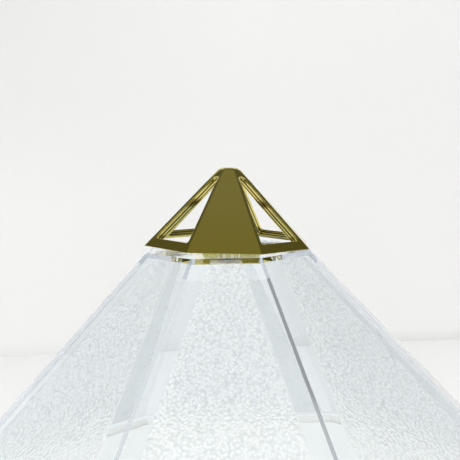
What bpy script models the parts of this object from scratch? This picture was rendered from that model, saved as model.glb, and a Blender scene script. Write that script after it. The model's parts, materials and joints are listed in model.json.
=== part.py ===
"""A battery metronome whose beat is a flash of light and a click.

The works stand in a low octagonal base. A clear octagonal case with textured panels
lifts off the base, and carries a gold openwork cap that lets the sound out.
Metres, +Z up, front towards -Y. The origin is on the table, in the middle of the
footprint with the tempo knob and the earphone socket counted in.
"""

import math

import bmesh
import bpy
from mathutils import Matrix, Vector

MM = 0.001
GAP = 0.3 * MM                       # left between pieces that rest on each other
SIDES = 8                            # case, cap and base are all octagonal
HALF_SECTOR = math.pi / SIDES
FLAT = math.cos(HALF_SECTOR)         # apothem of an octagon whose corners are at 1
ROUND = 32                           # facets of an ordinary round piece
FINE = 48                            # facets of a large round piece

# Case: a clear truncated pyramid on a short upright skirt. Names in _A are apothems.
CASE_A = 97.2 * MM
CASE_TOP_A = 21.4 * MM
CASE_RISE = 82.5 * MM
CASE_SKIRT = 5.3 * MM
CASE_WALL = 2.0 * MM

# Base: an octagonal tray, open below, with a ledge and a locating rim on top.
BASE_A = CASE_A + 3.8 * MM
BASE_WALL = 2.4 * MM
BASE_Z = 2.3 * MM
BASE_EDGE = 1.2 * MM
LEDGE_Z = 40.0 * MM
LEDGE_A = CASE_A - 11 * MM
RIM_A = CASE_A - CASE_WALL - 0.5 * MM
RIM_WALL = 1.5 * MM
RIM_Z = LEDGE_Z + 4.5 * MM
BOSS_D = 7.0 * MM
BOSS_AT = (BASE_A - 9 * MM) * math.sqrt(0.5)     # the screw bosses, on both diagonals
COVER_WALL = 2.4 * MM
COVER_TOP = BASE_Z + COVER_WALL
FOOT_D = 14.0 * MM
FOOT_H = 2.0 * MM
FOOT_AT = 54.0 * MM
SCREW_D = 2.8 * MM
SCREW_HEAD_D = 5.4 * MM
SCREW_HEAD_H = 1.5 * MM

# The case on its ledge. Its deck carries the cap, and has vents under it.
CASE_Z = LEDGE_Z + GAP
DECK_Z = CASE_Z + CASE_SKIRT + CASE_RISE
VENT_D = 3.6 * MM
VENT_AT = 10.8 * MM

# Cap: a gold pyramid, plain on four sides and cut open on the four between them.
# It sits a little askew on its screw, which is slack in the post.
CAP_A = 21.6 * MM
CAP_PLAIN = 9.25 / 21.6              # half a plain side's width over its distance from the axis
CAP_RISE = 23.3 * MM                 # to the point its ribs would meet in
CAP_NOSE_FLAT = 1.1 * MM
CAP_NOSE_R = 3.0 * MM
CAP_NOSE_STEPS = 5
CAP_WALL = 2.2 * MM
CAP_TILT = math.radians(2.1)
CAP_TURN = math.radians(-1.35)
WINDOW_FRAME = 1.0 * MM              # metal left along each rib
WINDOW_SILL = 2.9 * MM               # metal left along the foot, up the slope
WINDOW_TOP = 7.0 * MM                # from the point down the slope to the window
WINDOW_ROUND = 0.75 * MM
SEAT_Z = DECK_Z + GAP
CAP_LIFT = 0.9 * MM                  # the cap's foot above its seat, at the middle
PLATE_SIZE = 16.8 * MM
PLATE_H = 1.0 * MM
POST_D = 6.0 * MM
CAP_SCREW_D = 2.9 * MM
CAP_SCREW_HEAD_D = 5.4 * MM
CAP_SCREW_GRIP = 8.0 * MM            # how far the screw enters the post

# Reflector floor and lamp.
FLOOR_H = 1.6 * MM
FLOOR_A = RIM_A - RIM_WALL - GAP
FLOOR_Z = LEDGE_Z + GAP
FLOOR_TOP = FLOOR_Z + FLOOR_H
LAMP_HOLE_D = 16.0 * MM
LENS_D = 24.0 * MM
LENS_H = 8.5 * MM
LENS_WALL = 1.2 * MM
LAMP_BOARD_D = 20.0 * MM
LAMP_BOARD_H = 1.6 * MM
LED_SIZE = 5.0 * MM
LED_H = 1.8 * MM

# Speaker, face up below the reflector floor.
SPEAKER_AT = Vector((-36.0 * MM, -24.0 * MM, 0.0))
SPEAKER_D = 57.0 * MM
SPEAKER_DEPTH = 17.0 * MM
SPEAKER_FLANGE_H = 1.2 * MM
MAGNET_D = 30.0 * MM
MAGNET_H = 6.0 * MM
SOUND_HOLE_D = 3.2 * MM
SOUND_HOLE_PITCH = 7.5 * MM

# Front panel: tempo knob in the middle, volume wheel left, two switches right.
PANEL_Z = 21.0 * MM
PANEL_X = 30.0 * MM
DIAL_A = 16.6 * MM
DIAL_H = 0.8 * MM
BUSHING_D = 7.0 * MM
POT_D = 17.0 * MM
POT_DEPTH = 9.0 * MM
NUT_A = 5.0 * MM
NUT_H = 2.0 * MM
SHAFT_D = 6.0 * MM
KNOB_D = 20.0 * MM
KNOB_H = 11.0 * MM
KNOB_CAVITY_D = 13.0 * MM
POINTER_WIDTH = 1.2 * MM
POINTER_LENGTH = 6.5 * MM
POINTER_H = 0.8 * MM
WHEEL_D = 18.0 * MM
WHEEL_H = 4.0 * MM
WHEEL_SHOWS = 2.0 * MM
WHEEL_TEETH = 40
WHEEL_PIN_D = 3.0 * MM
VOLUME_POT_SIZE = Vector((12.0, 9.0, 5.0)) * MM
POWER_SWITCH_SIZE = Vector((16.0, 7.0, 6.5)) * MM
POWER_SWITCH_WELL = 3.0 * MM
TAP_SWITCH_SIZE = Vector((6.0, 4.0, 5.0)) * MM
SWITCH_Z = 28.0 * MM
SWITCH_TRAVEL = 4.0 * MM
SLIDER_WIDTH = 4.4 * MM
SLIDER_H = 3.2 * MM
SLIDER_SHOWS = 1.8 * MM
BUTTON_Z = 13.0 * MM
BUTTON_D = 7.0 * MM
BUTTON_SHOWS = 2.2 * MM
BUTTON_TRAVEL = 0.8 * MM

# Back panel: battery door, and the earphone socket beside it.
DOOR_WIDTH = 58.0 * MM
DOOR_BOTTOM_Z = 8.5 * MM
DOOR_H = 20.0 * MM
DOOR_WALL = 2.2 * MM
DOOR_PIN_D = 1.0 * MM
CELL_D = 14.5 * MM
CELL_LENGTH = 49.5 * MM
CELL_NUB_D = 5.5 * MM
CELL_NUB_H = 1.0 * MM
CELL_PITCH = 15.3 * MM
CELL_Z = 18.0 * MM
CELL_END = BASE_A - 3.5 * MM         # the end of the cells that faces the door
BOX_WALL = 1.5 * MM
BOX_DEPTH = 55.0 * MM
SPRING_D = 8.0 * MM
SPRING_WIRE = 0.8 * MM
JACK_X = 35.0 * MM
JACK_BORE_D = 3.6 * MM
JACK_THREAD_D = 6.0 * MM
JACK_BODY_D = 9.0 * MM
JACK_SHOWS = 2.6 * MM
JACK_NUT_A = 4.2 * MM
JACK_NUT_H = 1.6 * MM
JACK_DEPTH = 13.0 * MM

# Circuit board, on posts of the bottom cover.
BOARD_SIZE = Vector((96.0 * MM, 52.0 * MM, 1.6 * MM))
BOARD_AT = Vector((0.0, -62.0 * MM, 10.0 * MM))
POST_INSET = 4.5 * MM
BOARD_POST_D = 6.0 * MM
CHIPS = (("timer_chip", Vector((0.0, -56.0, 0.0)), Vector((10.0, 10.0, 1.6))),
         ("amplifier_chip", Vector((26.0, -52.0, 0.0)), Vector((8.0, 6.0, 1.4))))
CANS = (("supply_capacitor", Vector((-28.0, -50.0, 0.0))),
        ("speaker_capacitor", Vector((12.0, -45.0, 0.0))))
CAN_D = 6.4 * MM
CAN_H = 8.0 * MM

WALL_IN = BASE_A - BASE_WALL         # inner face of the base's walls
KNOB_BACK = BASE_A + DIAL_H + 3 * GAP
KNOB_FRONT = KNOB_BACK + KNOB_H
JACK_BACK = BASE_A + JACK_SHOWS
AXIS_Y = (KNOB_FRONT - JACK_BACK) / 2    # puts the origin mid-footprint

TO_FRONT = (math.radians(90), 0, 0)      # turns a piece's +Z to face -Y
TO_BACK = (math.radians(-90), 0, 0)      # turns a piece's +Z to face +Y

WHITE = ("white_plastic", (0.86, 0.86, 0.84), 0.45, 0.0)
CLEAR = ("clear_acrylic", (0.93, 0.95, 0.96), 0.06, 0.0)
GOLD = ("gold_plate", (0.66, 0.55, 0.22), 0.12, 1.0)
FROST = ("frosted_lens", (0.93, 0.93, 0.90), 0.35, 0.0)
RUBBER = ("grey_rubber", (0.16, 0.16, 0.16), 0.80, 0.0)
STEEL = ("nickel_steel", (0.70, 0.70, 0.70), 0.25, 1.0)
BOARD = ("circuit_board", (0.04, 0.22, 0.10), 0.45, 0.0)
BLACK = ("black_plastic", (0.03, 0.03, 0.03), 0.40, 0.0)
PAPER = ("speaker_paper", (0.07, 0.07, 0.07), 0.85, 0.0)
CELL = ("cell_jacket", (0.10, 0.16, 0.30), 0.35, 0.0)
SCALE = ("scale_plate", (0.90, 0.90, 0.88), 0.35, 0.0)
LAMP = ("lamp_emitter", (0.95, 0.85, 0.35), 0.40, 0.0)


def clear_scene():
    for obj in list(bpy.data.objects):
        bpy.data.objects.remove(obj, do_unlink=True)


def new_collection(name):
    collection = bpy.data.collections.new(name)
    bpy.context.scene.collection.children.link(collection)
    return collection


def new_empty(name, location, parent=None):
    empty = bpy.data.objects.new(name, None)
    empty.location = location
    empty.parent = parent
    PARTS.objects.link(empty)
    return empty


def material(finish):
    name, color, roughness, metallic = finish
    made = bpy.data.materials.get(name)
    if made is None:
        made = bpy.data.materials.new(name)
        made.use_nodes = True
        shader = made.node_tree.nodes["Principled BSDF"]
        shader.inputs["Base Color"].default_value = (*color, 1.0)
        shader.inputs["Roughness"].default_value = roughness
        shader.inputs["Metallic"].default_value = metallic
        if finish is CLEAR:
            shader.inputs["Transmission Weight"].default_value = 1.0
    return made


def add(name, mesh, finish=None, parent=None, location=(0, 0, 0), rotation=(0, 0, 0)):
    """Puts a mesh in the scene as a part, or as a cutter when it has no finish."""
    obj = bpy.data.objects.new(name, mesh)
    obj.parent = parent or AXIS
    obj.location = location
    obj.rotation_euler = rotation
    if finish:
        mesh.materials.append(material(finish))
        PARTS.objects.link(obj)
    else:
        obj.hide_render = True
        obj.display_type = "WIRE"
        CUTTERS.objects.link(obj)
    return obj


def mesh_from(name, bm):
    bmesh.ops.recalc_face_normals(bm, faces=bm.faces)
    mesh = bpy.data.meshes.new(name)
    bm.to_mesh(mesh)
    bm.free()
    return mesh


def turned(name, outline, finish=None, steps=ROUND, smooth=True, **place):
    """A profile of (radius, z) points, turned about Z. It runs down the outer side."""
    mesh = bpy.data.meshes.new(name)
    last = len(outline) - 1
    edges = [(i, i + 1) for i in range(last)]
    if outline[0][0] > 0:
        edges.append((last, 0))
    mesh.from_pydata([(r, 0, z) for r, z in outline], edges, [])
    obj = add(name, mesh, finish, **place)
    screw = obj.modifiers.new("turn", "SCREW")
    screw.steps = screw.render_steps = steps
    screw.use_merge_vertices = True
    screw.merge_threshold = 0.01 * MM
    screw.use_smooth_shade = smooth
    return obj


def octagonal(name, outline, finish=None, **place):
    """The same for an octagonal section: points are (apothem, z), a flat faces -Y."""
    corners = [(a / FLAT, z) for a, z in outline]
    obj = turned(name, corners, finish, SIDES, False, **place)
    obj.rotation_euler.rotate_axis("Z", HALF_SECTOR)
    return obj


def block(name, size, finish=None, bevel=0.0, **place):
    bm = bmesh.new()
    bmesh.ops.create_cube(bm, size=1.0)
    bmesh.ops.scale(bm, vec=size, verts=bm.verts)
    obj = add(name, mesh_from(name, bm), finish, **place)
    if bevel:
        round_edges(obj, bevel)
    return obj


def round_edges(obj, width, segments=2):
    mod = obj.modifiers.new("round", "BEVEL")
    mod.width = width
    mod.segments = segments
    mod.limit_method = "ANGLE"


def rod(name, diameter, length, places, finish=None, steps=ROUND, **place):
    """One or more cylinders about Z, each standing on its place."""
    bm = bmesh.new()
    for spot in places:
        middle = Vector(spot) + Vector((0, 0, length / 2))
        bmesh.ops.create_cone(bm, cap_ends=True, segments=steps, radius1=diameter / 2,
                              radius2=diameter / 2, depth=length,
                              matrix=Matrix.Translation(middle))
    return add(name, mesh_from(name, bm), finish, **place)


def combine(obj, tool, operation="DIFFERENCE"):
    mod = obj.modifiers.new(tool.name, "BOOLEAN")
    mod.operation = operation
    mod.solver = "EXACT"
    mod.object = tool


def square(half, z=0.0):
    """The four corners of a square about the axis."""
    return [(x, y, z) for x in (-half, half) for y in (-half, half)]


def pan_screw(name, length, **place):
    """A pan-head screw that points up: the underside of its head is at z = 0."""
    head = SCREW_HEAD_D / 2
    shank = SCREW_D / 2
    turned(name, [(0, length), (shank - 0.4 * MM, length), (shank, length - 0.6 * MM),
                  (shank, 0), (head, 0), (head, -0.8 * MM), (head - 0.6 * MM, -SCREW_HEAD_H),
                  (0, -SCREW_HEAD_H)], STEEL, steps=16, **place)


def make_base_housing():
    wall = BASE_WALL
    housing = octagonal("base_housing", [
        (RIM_A, RIM_Z), (RIM_A, LEDGE_Z), (BASE_A - BASE_EDGE, LEDGE_Z),
        (BASE_A, LEDGE_Z - BASE_EDGE), (BASE_A, BASE_Z), (WALL_IN, BASE_Z),
        (WALL_IN, LEDGE_Z - wall), (LEDGE_A, LEDGE_Z - wall), (LEDGE_A, LEDGE_Z),
        (RIM_A - RIM_WALL, LEDGE_Z), (RIM_A - RIM_WALL, RIM_Z)], WHITE)
    low = COVER_TOP + GAP
    combine(housing, rod("boss_posts", BOSS_D, LEDGE_Z - wall / 2 - low,
                         square(BOSS_AT, low), steps=24), "UNION")
    combine(housing, rod("boss_bores", SCREW_D + 2 * GAP, 20 * MM,
                         square(BOSS_AT, low - 1 * MM), steps=16))
    for cutter in front_openings() + back_openings():
        combine(housing, cutter)


def front_openings():
    """Holes for the tempo bushing, volume wheel, power slider and tap button."""
    middle = -(BASE_A - BASE_WALL / 2)
    through = 3 * BASE_WALL
    front = (0, middle + through / 2, 0)
    bushing = rod("bushing_hole", BUSHING_D + 2 * GAP, through, [(0, 0, 0)],
                  location=(0, front[1], PANEL_Z), rotation=TO_FRONT)
    wheel = rod("wheel_slot", WHEEL_D + 1 * MM, WHEEL_H + 1 * MM, [(0, 0, 0)], steps=FINE,
                location=(-PANEL_X, wheel_axis_y(), PANEL_Z - WHEEL_H / 2 - 0.5 * MM))
    slot_width = SLIDER_WIDTH + SWITCH_TRAVEL + 2 * GAP
    slot = block("slider_slot", (slot_width, through, SLIDER_H + 2 * GAP),
                 location=(PANEL_X, middle, SWITCH_Z))
    button = rod("button_hole", BUTTON_D + 2 * GAP, through, [(0, 0, 0)],
                 location=(PANEL_X, front[1], BUTTON_Z), rotation=TO_FRONT)
    return [bushing, wheel, slot, button]


def back_openings():
    """The door's opening, the holes for its pin, and the earphone socket's hole."""
    middle = BASE_A - BASE_WALL / 2
    through = 3 * BASE_WALL
    opening = block("door_opening", (DOOR_WIDTH, through, DOOR_H),
                    location=(0, middle, DOOR_BOTTOM_Z + DOOR_H / 2))
    pin = rod("door_pin_holes", DOOR_PIN_D + GAP, DOOR_WIDTH + 7 * MM, [(0, 0, 0)], steps=12,
              location=(-DOOR_WIDTH / 2 - 3.5 * MM, middle, door_axis_z()),
              rotation=(0, math.radians(90), 0))
    jack = rod("jack_hole", JACK_THREAD_D + 2 * GAP, through, [(0, 0, 0)], steps=24,
               location=(JACK_X, middle - through / 2, PANEL_Z), rotation=TO_BACK)
    return [opening, pin, jack]


def wheel_axis_y():
    return -(BASE_A + WHEEL_SHOWS - WHEEL_D / 2)


def door_axis_z():
    return DOOR_BOTTOM_Z + GAP + DOOR_WALL / 2


def make_bottom_cover():
    apothem = WALL_IN - GAP
    cover = octagonal("bottom_cover", [(0, COVER_TOP), (apothem, COVER_TOP),
                                       (apothem, BASE_Z), (0, BASE_Z)], WHITE)
    posts = rod("board_posts", BOARD_POST_D, BOARD_AT.z - GAP - COVER_TOP + 1 * MM,
                board_fixings(COVER_TOP - 1 * MM), steps=20)
    combine(cover, posts, "UNION")
    combine(cover, rod("board_post_bores", SCREW_D + 2 * GAP, 8 * MM,
                       board_fixings(COVER_TOP + 0.5 * MM), steps=16))
    combine(cover, rod("cover_holes", SCREW_D + 2 * GAP, 3 * COVER_WALL,
                       square(BOSS_AT, BASE_Z - COVER_WALL), steps=16))


def board_fixings(z):
    """The two posts that hold the board, at opposite corners."""
    across = BOARD_SIZE.x / 2 - POST_INSET
    along = BOARD_SIZE.y / 2 - POST_INSET
    return [(-across, BOARD_AT.y + along, z), (across, BOARD_AT.y - along, z)]


def make_fasteners_and_feet():
    for i, (x, y, z) in enumerate(square(BOSS_AT, BASE_Z - GAP)):
        pan_screw("base_screw_%d" % (i + 1), 14 * MM, location=(x, y, z))
    top = BOARD_AT.z + BOARD_SIZE.z + GAP
    for i, spot in enumerate(board_fixings(top)):
        pan_screw("board_screw_%d" % (i + 1), 6 * MM, location=spot, rotation=(math.pi, 0, 0))
    edge = FOOT_D / 2
    for i, spot in enumerate(square(FOOT_AT)):
        turned("rubber_foot_%d" % (i + 1), [
            (0, FOOT_H), (edge - 0.6 * MM, FOOT_H), (edge, FOOT_H - 0.5 * MM),
            (edge - 0.6 * MM, 0), (0, 0)], RUBBER, steps=24, location=spot)


def make_clear_case():
    slope = CASE_RISE / (CASE_A - CASE_TOP_A)
    drop = CASE_WALL * math.hypot(1, slope)      # wall thickness, measured upright
    skirt_top = CASE_Z + CASE_SKIRT
    inner_a = CASE_A - CASE_WALL
    inner_fold = skirt_top + CASE_WALL * slope - drop
    deck_under = DECK_Z - CASE_WALL
    inner_top_a = CASE_TOP_A - (drop - CASE_WALL) / slope
    case = octagonal("clear_case", [
        (0, DECK_Z), (CASE_TOP_A, DECK_Z), (CASE_A, skirt_top), (CASE_A, CASE_Z),
        (inner_a, CASE_Z), (inner_a, inner_fold), (inner_top_a, deck_under),
        (0, deck_under)], CLEAR, parent=CASE)
    hole_z = deck_under - CASE_WALL
    hole = 3 * CASE_WALL
    combine(case, rod("cap_screw_hole", CAP_SCREW_D + 2 * GAP, hole, [(0, 0, hole_z)],
                      steps=20, parent=CASE))
    combine(case, rod("deck_vents", VENT_D, hole, square(VENT_AT, hole_z), steps=20,
                      parent=CASE))


def cap_outline(wall):
    """The cap's section across a plain side, moved inwards by wall: (apothem, height)."""
    slope = CAP_RISE / CAP_A
    drop = wall * math.hypot(1, slope)
    lean = math.atan(slope)
    tangent = CAP_NOSE_FLAT + CAP_NOSE_R * math.sin(lean)
    centre = CAP_RISE - slope * tangent - CAP_NOSE_R * math.cos(lean)
    radius = CAP_NOSE_R - wall
    nose = []
    for i in range(CAP_NOSE_STEPS + 1):
        turn = lean * i / CAP_NOSE_STEPS
        nose.append((CAP_NOSE_FLAT + radius * math.sin(turn), centre + radius * math.cos(turn)))
    return nose + [(CAP_A - drop / slope, 0)]


def cap_ring(bm, apothem, z):
    """Eight corners, with the plain sides facing -X, +X, -Y and +Y."""
    half = apothem * CAP_PLAIN
    corners = [(half, -apothem), (apothem, -half), (apothem, half), (half, apothem),
               (-half, apothem), (-apothem, half), (-apothem, -half), (-half, -apothem)]
    return [bm.verts.new((x, y, z)) for x, y in corners]


def make_gold_cap():
    bm = bmesh.new()
    outer = [cap_ring(bm, apothem, z) for apothem, z in cap_outline(0.0)]
    inner = [cap_ring(bm, apothem, z) for apothem, z in cap_outline(CAP_WALL)]
    rings = outer + inner[::-1]
    for upper, lower in zip(rings, rings[1:]):
        for i in range(SIDES):
            j = (i + 1) % SIDES
            bm.faces.new((upper[i], lower[i], lower[j], upper[j]))
    bm.faces.new(outer[0])
    bm.faces.new(inner[0][::-1])
    cap = add("gold_cap", mesh_from("gold_cap", bm), GOLD, parent=CAP_SEAT,
              location=(0, 0, CAP_LIFT))
    for i in range(4):
        combine(cap, window_cutter(i))


def window_cutter(number):
    """A rounded wedge, pushed through one of the four open faces."""
    reach = CAP_A * (1 + CAP_PLAIN) * math.sqrt(0.5)         # of an open face's foot
    slope_length = math.hypot(CAP_RISE, reach)
    spread = math.atan2(CAP_A * (1 - CAP_PLAIN) * math.sqrt(0.5), slope_length)
    outline = []
    for down, side in ((slope_length - WINDOW_SILL, 1), (WINDOW_TOP, -1)):
        half = down * math.tan(spread) - WINDOW_FRAME / math.cos(spread)
        outline += [(-side * half, -down, 0), (side * half, -down, 0)]
    bm = bmesh.new()
    bm.faces.new([bm.verts.new(point) for point in outline])
    bmesh.ops.bevel(bm, geom=bm.verts[:], offset=WINDOW_ROUND, segments=4, affect="VERTICES",
                    profile=0.5)
    pushed = bmesh.ops.extrude_face_region(bm, geom=bm.faces[:])
    moved = [item for item in pushed["geom"] if isinstance(item, bmesh.types.BMVert)]
    bmesh.ops.translate(bm, vec=(0, 0, 4 * CAP_WALL), verts=moved)
    bmesh.ops.translate(bm, vec=(0, 0, -2 * CAP_WALL), verts=bm.verts)
    lean = math.atan2(CAP_RISE, reach)
    turn = math.pi / 4 + number * math.pi / 2
    rotation = Matrix.Rotation(turn, 4, "Z") @ Matrix.Rotation(lean, 4, "X")
    return add("window_%d" % (number + 1), mesh_from("window", bm), parent=CAP_SEAT,
               location=(0, 0, CAP_LIFT + CAP_RISE), rotation=rotation.to_euler())


def make_cap_fixing():
    slack = CAP_SCREW_D / 2 + 2 * GAP
    radius = POST_D / 2
    top = CAP_LIFT + cap_outline(CAP_WALL)[0][1] - 2 * GAP
    bore_top = CAP_SCREW_GRIP + 1 * MM
    turned("cap_post", [(0, top), (0.8 * MM, top - 0.2 * MM), (radius, top - 3 * MM),
                        (radius, 0), (slack, 0), (slack, bore_top), (0, bore_top)],
           STEEL, steps=24, parent=CAP_SEAT)

    plate_top = DECK_Z - CASE_WALL - GAP
    plate = block("cap_plate", (PLATE_SIZE, PLATE_SIZE, PLATE_H), GOLD, parent=CASE,
                  location=(0, 0, plate_top - PLATE_H / 2))
    bore = CAP_SCREW_D / 2 + GAP
    sink = CAP_SCREW_HEAD_D / 2 + 2 * GAP
    over = 0.2 * MM
    combine(plate, turned("plate_sink", [(0, PLATE_H / 2 + over), (bore, PLATE_H / 2 + over),
                                         (bore, PLATE_H / 2 - over),
                                         (sink, -PLATE_H / 2 - over), (0, -PLATE_H / 2 - over)],
                          steps=24, parent=CASE, location=(0, 0, plate_top - PLATE_H / 2)))

    shank = CAP_SCREW_D / 2
    head = CAP_SCREW_HEAD_D / 2
    low = plate_top - PLATE_H
    tip = SEAT_Z + CAP_SCREW_GRIP
    screw = turned("cap_screw", [(0, tip), (shank - 0.5 * MM, tip), (shank, tip - 0.8 * MM),
                                 (shank, plate_top - 0.1 * MM), (head, low + 0.1 * MM),
                                 (head, low), (0, low)], STEEL, steps=24, parent=CASE)
    combine(screw, block("screw_slot", (2 * head, 0.7 * MM, 1.0 * MM), parent=CASE,
                         location=(0, 0, low)))


def make_reflector_floor():
    floor = octagonal("reflector_floor", [(0, FLOOR_TOP), (FLOOR_A, FLOOR_TOP),
                                          (FLOOR_A, FLOOR_Z), (0, FLOOR_Z)], WHITE)
    combine(floor, rod("lamp_hole", LAMP_HOLE_D, 3 * FLOOR_H, [(0, 0, FLOOR_Z - FLOOR_H)]))
    combine(floor, rod("sound_holes", SOUND_HOLE_D, 3 * FLOOR_H, sound_places(), steps=12))


def sound_places():
    """A centre hole and two rings around it, above the speaker."""
    centre = SPEAKER_AT + Vector((0, 0, FLOOR_Z - FLOOR_H))
    places = [tuple(centre)]
    for ring in (1, 2):
        count = 6 * ring
        for i in range(count):
            turn = 2 * math.pi * i / count
            reach = ring * SOUND_HOLE_PITCH
            places.append((centre.x + reach * math.cos(turn),
                           centre.y + reach * math.sin(turn), centre.z))
    return places


def make_lamp():
    arc = 6
    outer = []
    inner = []
    for i in range(arc + 1):
        turn = math.pi / 2 * i / arc
        outer.append((LENS_D / 2 * math.sin(turn), LENS_H * math.cos(turn)))
        inner.append(((LENS_D / 2 - LENS_WALL) * math.sin(turn),
                      (LENS_H - LENS_WALL) * math.cos(turn)))
    turned("lamp_lens", outer + inner[::-1], FROST, location=(0, 0, FLOOR_TOP + GAP))

    board_top = FLOOR_Z - GAP
    rod("lamp_board", LAMP_BOARD_D, LAMP_BOARD_H, [(0, 0, board_top - LAMP_BOARD_H)], BOARD)
    block("lamp_led", (LED_SIZE, LED_SIZE, LED_H), LAMP, bevel=0.4 * MM,
          location=(0, 0, board_top + GAP + LED_H / 2))
    cup = LAMP_BOARD_D / 2 + GAP
    wall = 1.2 * MM
    sink_top = board_top - LAMP_BOARD_H / 2
    sink_low = board_top - LAMP_BOARD_H - 9 * MM
    turned("lamp_heat_sink", [(cup + wall, sink_top), (cup + wall, sink_low), (4 * MM, sink_low),
                              (4 * MM, sink_low + 2 * wall), (cup - wall, sink_low + 2 * wall),
                              (cup - wall, board_top - LAMP_BOARD_H - GAP),
                              (cup, board_top - LAMP_BOARD_H - GAP), (cup, sink_top)],
           STEEL)


def make_speaker():
    spot = (SPEAKER_AT.x, SPEAKER_AT.y, FLOOR_Z - GAP)
    rim = SPEAKER_D / 2
    magnet = MAGNET_D / 2
    inside = rim - 4.5 * MM
    wall = 0.8 * MM
    depth = SPEAKER_DEPTH - MAGNET_H
    turned("speaker_frame", [(rim, 0), (rim, -SPEAKER_FLANGE_H),
                             (inside, -SPEAKER_FLANGE_H), (magnet, -depth),
                             (5 * MM, -depth), (5 * MM, -depth + wall),
                             (magnet - wall, -depth + wall), (inside - 1.2 * MM, 0)],
           STEEL, steps=FINE, location=spot)
    cone_rim = inside - 2.4 * MM
    turned("speaker_cone", [(0, -5.0 * MM), (3.5 * MM, -5.6 * MM), (5 * MM, -7.5 * MM),
                            (cone_rim - 2 * MM, -1.2 * MM), (cone_rim - 1 * MM, -0.7 * MM),
                            (cone_rim, -1.2 * MM), (cone_rim - 1.2 * MM, -1.7 * MM),
                            (5 * MM, -8.3 * MM), (0, -8.3 * MM)],
           PAPER, steps=FINE, location=spot)
    turned("speaker_magnet", [(0, -depth - GAP), (magnet - 1 * MM, -depth - GAP),
                              (magnet, -depth - 1 * MM), (magnet, -SPEAKER_DEPTH + 0.5 * MM),
                              (magnet - 0.5 * MM, -SPEAKER_DEPTH), (0, -SPEAKER_DEPTH)],
           BLACK, location=spot)


def make_tempo_control():
    """Pot, dial and nut stay put. Shaft, knob and pointer turn about the panel's normal."""
    bushing = BUSHING_D / 2
    pot = POT_D / 2
    shaft = SHAFT_D / 2
    bore = shaft + GAP / 2
    reach = BASE_WALL + DIAL_H + NUT_H + 3 * GAP
    cavity_floor = -POT_DEPTH + 2 * MM
    turned("tempo_pot", [(0, cavity_floor), (bore, cavity_floor), (bore, reach),
                         (bushing, reach), (bushing, -GAP), (pot, -GAP), (pot, -POT_DEPTH),
                         (0, -POT_DEPTH)], STEEL,
           location=(0, -WALL_IN, PANEL_Z), rotation=TO_FRONT)

    hole = bushing + GAP
    outside = (0, -BASE_A, PANEL_Z)
    octagonal("tempo_dial", [(DIAL_A, DIAL_H + GAP), (DIAL_A, GAP), (hole, GAP),
                             (hole, DIAL_H + GAP)], SCALE, location=outside, rotation=TO_FRONT)
    nut_low = DIAL_H + 2 * GAP
    hexagon_nut("tempo_nut", NUT_A, hole, nut_low, NUT_H, location=outside, rotation=TO_FRONT)

    turning = new_empty("tempo_turn", (0, -KNOB_BACK, PANEL_Z), AXIS)
    turning.rotation_euler = TO_FRONT
    shaft_low = -(KNOB_BACK - WALL_IN) + cavity_floor + GAP
    shaft_top = KNOB_H - 3 * MM
    rod("tempo_shaft", SHAFT_D, shaft_top - shaft_low, [(0, 0, shaft_low)], STEEL, steps=24,
        parent=turning)
    rim = KNOB_D / 2
    hollow = KNOB_CAVITY_D / 2
    hollow_top = NUT_H + 2 * GAP
    socket = shaft + GAP
    socket_top = shaft_top + GAP
    knob = turned("tempo_knob", [(0, KNOB_H), (rim - 1.6 * MM, KNOB_H),
                                 (rim - 0.5 * MM, KNOB_H - 1.1 * MM), (rim, 1 * MM),
                                 (rim, 0), (hollow, 0), (hollow, hollow_top),
                                 (socket, hollow_top), (socket, socket_top), (0, socket_top)],
                  GOLD, steps=FINE, parent=turning)
    middle = rim - 1.8 * MM - POINTER_LENGTH / 2
    combine(knob, block("pointer_slot", (POINTER_WIDTH + 2 * GAP, POINTER_LENGTH + 2 * GAP,
                                         2 * POINTER_H), parent=turning,
                        location=(0, middle, KNOB_H)))
    block("tempo_pointer", (POINTER_WIDTH, POINTER_LENGTH, POINTER_H - GAP), BLACK,
          parent=turning, location=(0, middle, KNOB_H - (POINTER_H - GAP) / 2))


def hexagon_nut(name, apothem, hole, low, height, **place):
    bm = bmesh.new()
    corner = apothem / math.cos(math.pi / 6)
    bmesh.ops.create_cone(bm, cap_ends=True, segments=6, radius1=corner, radius2=corner,
                          depth=height, matrix=Matrix.Translation((0, 0, low + height / 2)))
    nut = add(name, mesh_from(name, bm), STEEL, **place)
    combine(nut, rod(name + "_hole", 2 * hole, 3 * height, [(0, 0, low - height)], steps=24,
                     **place))


def make_volume_control():
    """A toothed wheel on an upright pin, which shows through a slot in the panel."""
    spot = (-PANEL_X, wheel_axis_y(), PANEL_Z)
    turning = new_empty("volume_turn", spot, AXIS)
    bm = bmesh.new()
    for z in (-WHEEL_H / 2, WHEEL_H / 2):
        ring = []
        for i in range(2 * WHEEL_TEETH):
            turn = math.pi * i / WHEEL_TEETH
            reach = WHEEL_D / 2 - (i % 2) * 0.5 * MM
            ring.append(bm.verts.new((reach * math.cos(turn), reach * math.sin(turn), z)))
        bm.faces.new(ring)
    bmesh.ops.bridge_loops(bm, edges=bm.edges[:])
    wheel = add("volume_wheel", mesh_from("volume_wheel", bm), BLACK, parent=turning)
    combine(wheel, rod("wheel_bore", WHEEL_PIN_D + 2 * GAP, 3 * WHEEL_H,
                       [(0, 0, -1.5 * WHEEL_H)], steps=24, parent=turning))

    top = PANEL_Z - WHEEL_H / 2 - 1 * MM
    body = block("volume_pot", VOLUME_POT_SIZE, BLACK, bevel=0.4 * MM,
                 location=(spot[0], spot[1] + 1 * MM, top - VOLUME_POT_SIZE.z / 2))
    pin_length = WHEEL_H + 2.5 * MM
    pin = rod("wheel_pin", WHEEL_PIN_D, pin_length, [(0, 0, -pin_length)], steps=24,
              location=(spot[0], spot[1], PANEL_Z + WHEEL_H / 2 + GAP))
    combine(body, pin, "UNION")


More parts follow.
